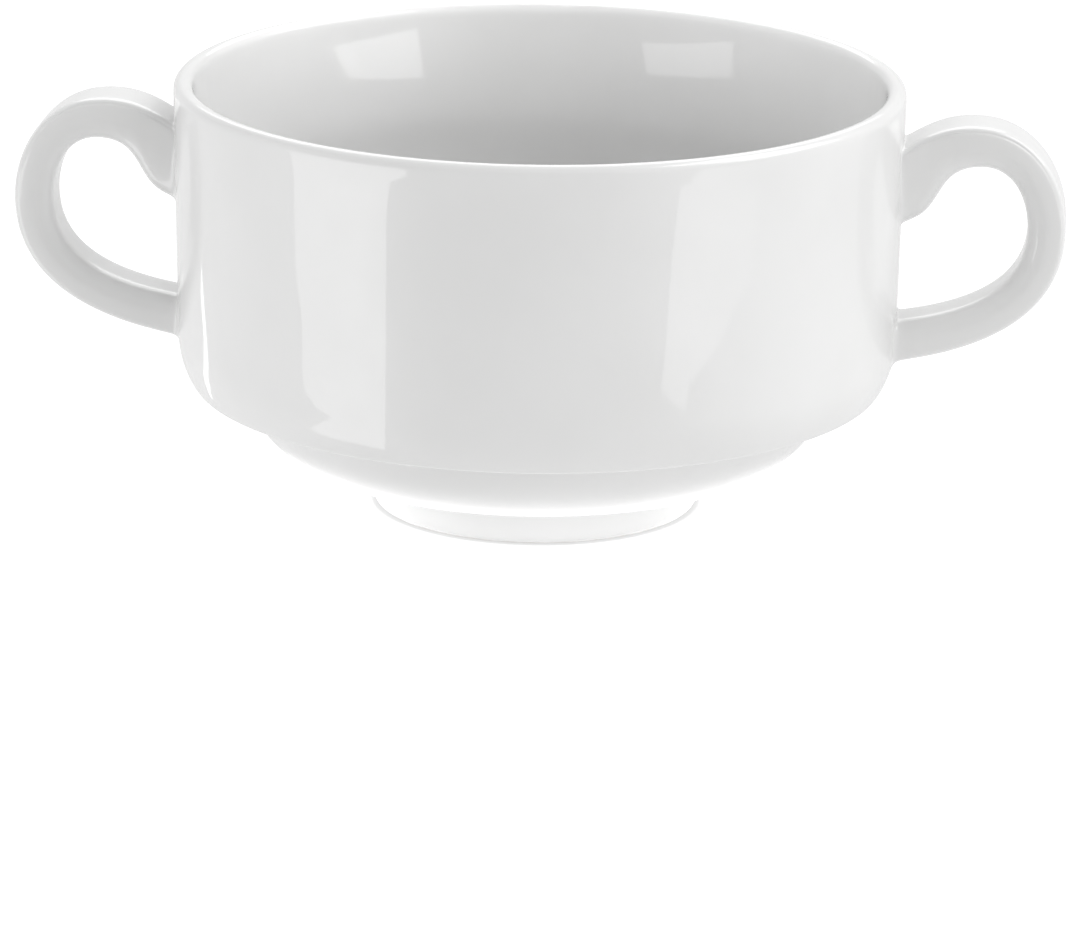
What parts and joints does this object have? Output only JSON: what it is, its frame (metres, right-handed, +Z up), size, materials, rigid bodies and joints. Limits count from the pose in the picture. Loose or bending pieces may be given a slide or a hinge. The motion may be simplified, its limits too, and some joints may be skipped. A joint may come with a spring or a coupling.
{
  "type": "bouillon cup",
  "caption": "White glazed porcelain soup cup with a straight wall, a stepped shoulder for stacking, a low foot ring and a loop handle on each side.",
  "frame": {"origin": "middle of the foot ring, on the surface that the cup stands on", "axes": "+Z up along the axis of the bowl, +X through the two handles"},
  "size_m": [0.1516, 0.105, 0.0625],
  "materials": {
    "glaze": "gloss"
  },
  "bodies": {
    "root": {"cup": "glaze"}
  },
  "joints": []
}
